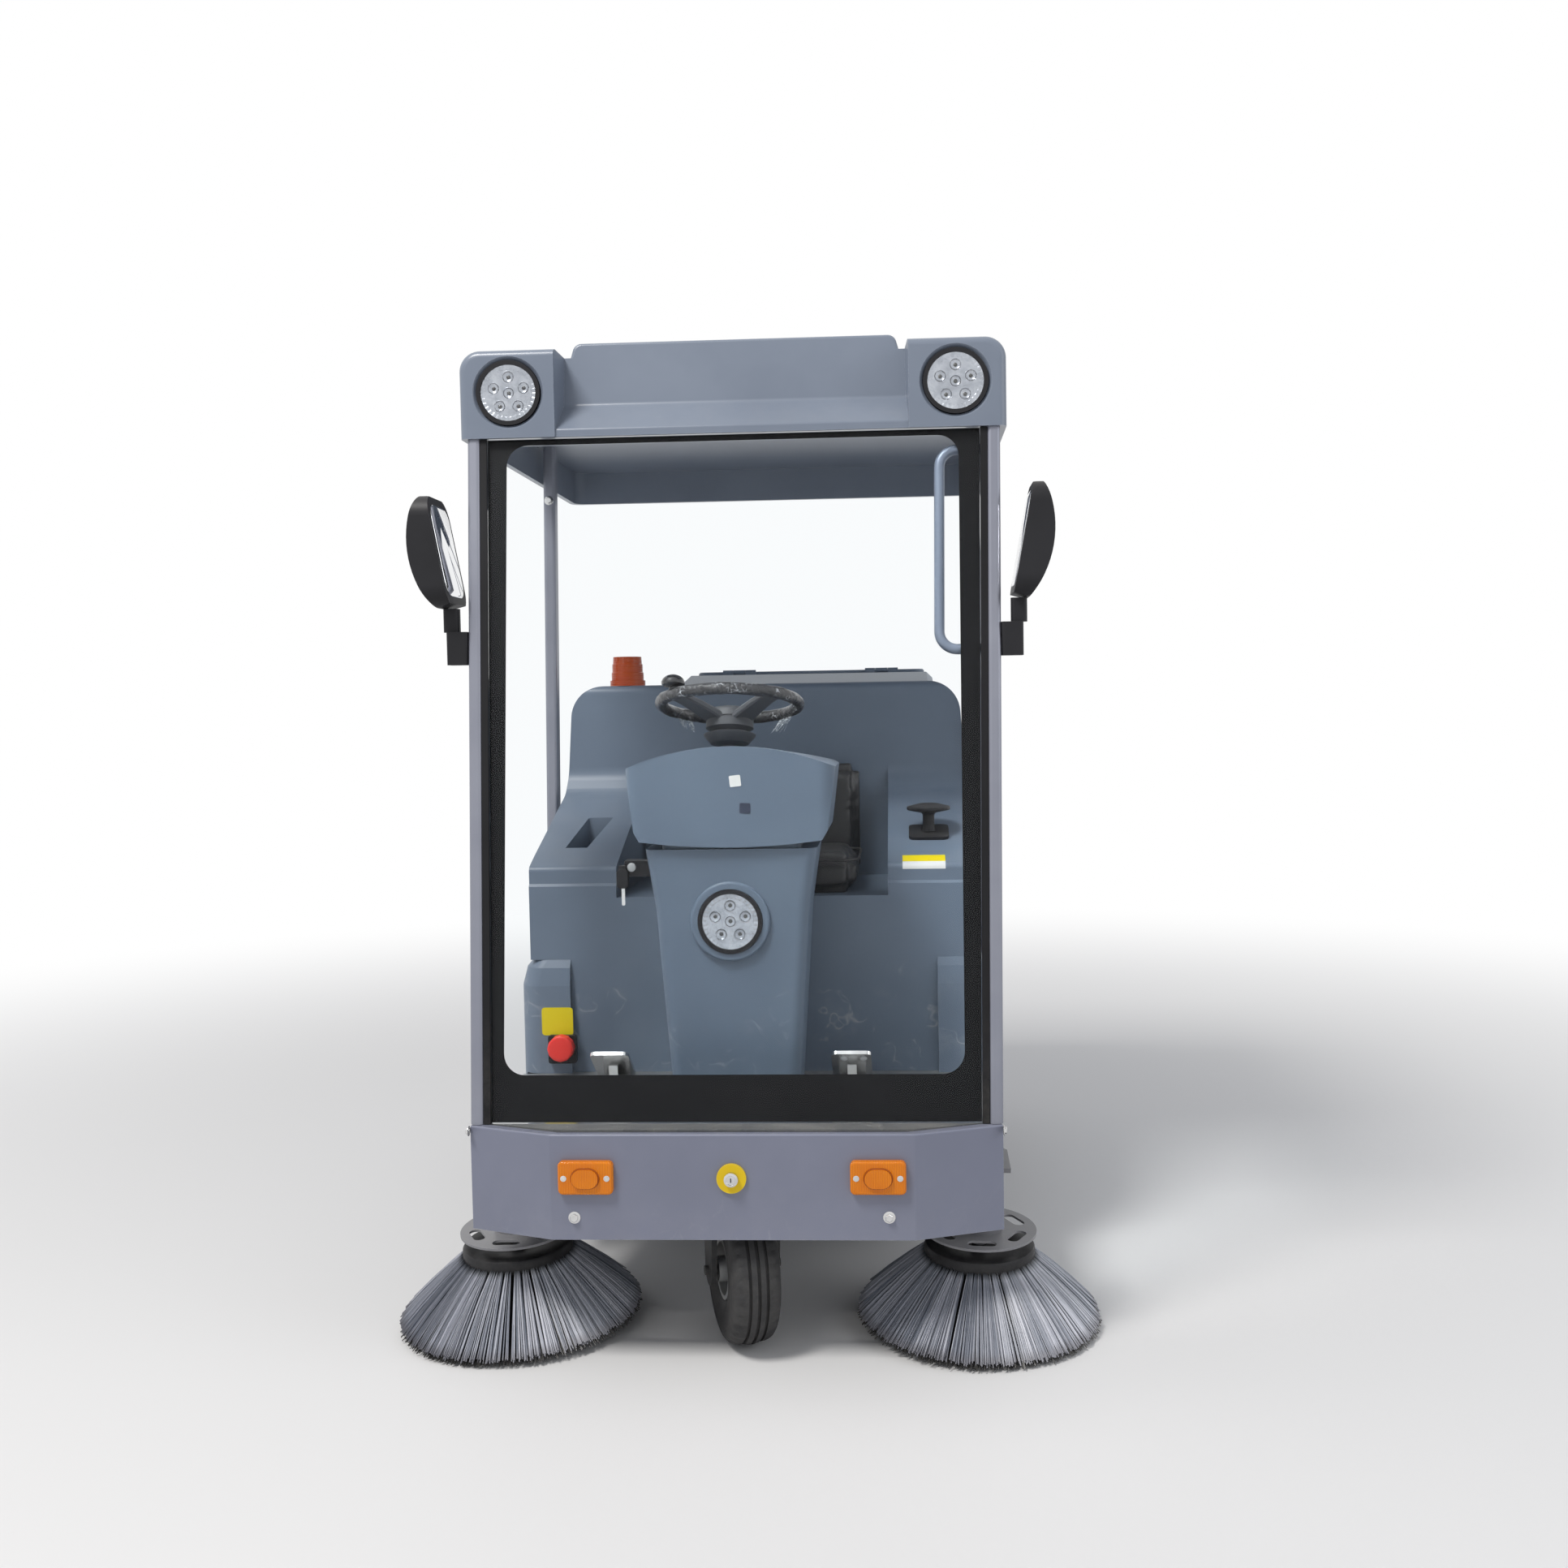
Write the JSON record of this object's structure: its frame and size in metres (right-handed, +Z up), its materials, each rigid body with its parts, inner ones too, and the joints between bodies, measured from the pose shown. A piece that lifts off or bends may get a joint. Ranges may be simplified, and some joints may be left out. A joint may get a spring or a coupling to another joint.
{
  "type": "ride-on road sweeper",
  "caption": "Compact ride-on road sweeper: canopy cab with flat windscreen, folded bumper, steered front wheel, tilted side brushes, roller brush and rear hopper drawer.",
  "frame": {"origin": "on the ground below the middle of the whole machine's box", "axes": "+Z up, the front looks along -Y, +X is the machine's left"},
  "size_m": [1.5422, 2.06, 2.1473],
  "materials": {
    "bumper_paint": "satin, dusty",
    "chassis_paint": "satin black",
    "checker_steel": "checkered plate",
    "post_paint": "satin grey-blue",
    "seal_rubber": "matt",
    "windscreen_glass": "clear, black printed border",
    "roof_plastic": "moulded, satin",
    "column_plastic": "moulded, satin",
    "steering_plastic": "moulded black",
    "body_plastic": "moulded, satin, scuffed",
    "seat_vinyl": "black vinyl",
    "handle_paint": "satin light grey",
    "black_plastic": "moulded black",
    "lamp_black": "black lamp housings with clear lens",
    "amber_lens": "amber lens",
    "lock_metal": "yellow ring round a key lock",
    "tail_lens": "red lens",
    "switch_plastic": "red knob on black base",
    "pedal_metal": "worn bright metal",
    "tyre_rubber": "ribbed tread",
    "rim_steel": "silver",
    "fork_steel": "black",
    "bristle": "grey bristles on a black hub",
    "arm_steel": "grey",
    "roller_bristle": "dark bristles",
    "housing_steel": "black",
    "hopper_plastic": "moulded",
    "battery_case": "moulded"
  },
  "bodies": {
    "root": {"bumper_apron": "bumper_paint", "chassis_frame": "chassis_paint", "floor_plate": "checker_steel", "front_posts": "post_paint", "windscreen_seals": "seal_rubber", "windscreen": "windscreen_glass", "roof_canopy": "roof_plastic", "console_column": "column_plastic", "dash_shroud": "column_plastic", "lower_body": "body_plastic", "upper_body": "body_plastic", "seat_cushion": "seat_vinyl", "seat_back": "seat_vinyl", "rear_posts": "post_paint", "grab_handle": "handle_paint", "mirror_arms": "black_plastic", "mirror_heads": "black_plastic", "work_lamps": "lamp_black", "marker_lights": "amber_lens", "bumper_lock": "lock_metal", "tail_lights": "tail_lens", "beacon": "amber_lens", "switches": "switch_plastic", "control_lever": "black_plastic", "pedals": "pedal_metal", "rear_stub_axles": "chassis_paint", "roller_housing": "housing_steel", "battery_block": "battery_case", "dust_skirts": "seal_rubber"},
    "steering": {"steering_fork": "fork_steel"},
    "front_wheel": {"front_tyre": "tyre_rubber", "front_rim": "rim_steel"},
    "steering_wheel_body": {"steering_wheel": "steering_plastic"},
    "rear_wheel_left": {"rear_tyre_left": "tyre_rubber", "rear_rim_left": "rim_steel"},
    "rear_wheel_right": {"rear_tyre_right": "tyre_rubber", "rear_rim_right": "rim_steel"},
    "brush_lift_left": {"brush_arm_left": "arm_steel"},
    "brush_lift_right": {"brush_arm_right": "arm_steel"},
    "brush_spin_left": {"side_brush_left": "bristle"},
    "brush_spin_right": {"side_brush_right": "bristle"},
    "roller": {"roller_brush": "roller_bristle"},
    "hopper_drawer": {"hopper": "hopper_plastic"},
    "lid": {"rear_lid": "body_plastic"}
  },
  "joints": [
    {"name": "steer", "type": "hinge", "parent": "root", "child": "steering", "pos_m": [0, -0.845, 0.16], "axis": [0, 0, 1], "range_deg": [-74, 36]},
    {"name": "front_wheel_spin", "type": "hinge", "parent": "steering", "child": "front_wheel", "pos_m": [0, -0.845, 0.16], "axis": [0.9455, 0.3256, 0], "continuous": true},
    {"name": "steering_wheel_turn", "type": "hinge", "parent": "root", "child": "steering_wheel_body", "pos_m": [-0.027, -0.63, 1.354], "axis": [0, 0.225, 0.9744], "range_deg": [-222, 108]},
    {"name": "rear_wheel_right_spin", "type": "hinge", "parent": "root", "child": "rear_wheel_right", "pos_m": [-0.464, 0.56, 0.2], "axis": [1, 0, 0], "continuous": true},
    {"name": "brush_lift_right", "type": "hinge", "parent": "root", "child": "brush_lift_right", "pos_m": [-0.395, -0.54, 0.463], "axis": [-1, 0, 0], "range_deg": [0, 10]},
    {"name": "brush_spin_right", "type": "hinge", "parent": "brush_lift_right", "child": "brush_spin_right", "pos_m": [-0.508, -0.75, 0.181], "axis": [-0.0261, -0.0522, 0.9983], "continuous": true},
    {"name": "rear_wheel_left_spin", "type": "hinge", "parent": "root", "child": "rear_wheel_left", "pos_m": [0.464, 0.56, 0.2], "axis": [1, 0, 0], "continuous": true},
    {"name": "brush_lift_left", "type": "hinge", "parent": "root", "child": "brush_lift_left", "pos_m": [0.395, -0.54, 0.463], "axis": [-1, 0, 0], "range_deg": [0, 10]},
    {"name": "brush_spin_left", "type": "hinge", "parent": "brush_lift_left", "child": "brush_spin_left", "pos_m": [0.508, -0.75, 0.181], "axis": [0.0261, -0.0522, 0.9983], "continuous": true},
    {"name": "roller_spin", "type": "hinge", "parent": "root", "child": "roller", "pos_m": [0, 0.04, 0.151], "axis": [1, 0, 0], "continuous": true},
    {"name": "hopper_slide", "type": "slide", "parent": "root", "child": "hopper_drawer", "axis": [0, 1, 0], "range_m": [0, 0.5]},
    {"name": "lid_hinge", "type": "hinge", "parent": "root", "child": "lid", "pos_m": [0.1, 0.267, 1.44], "axis": [1, 0, 0], "range_deg": [0, 65]}
  ],
  "couplings": [
    {"joint": "steering_wheel_turn", "follows": "steer", "ratio": 3}
  ]
}
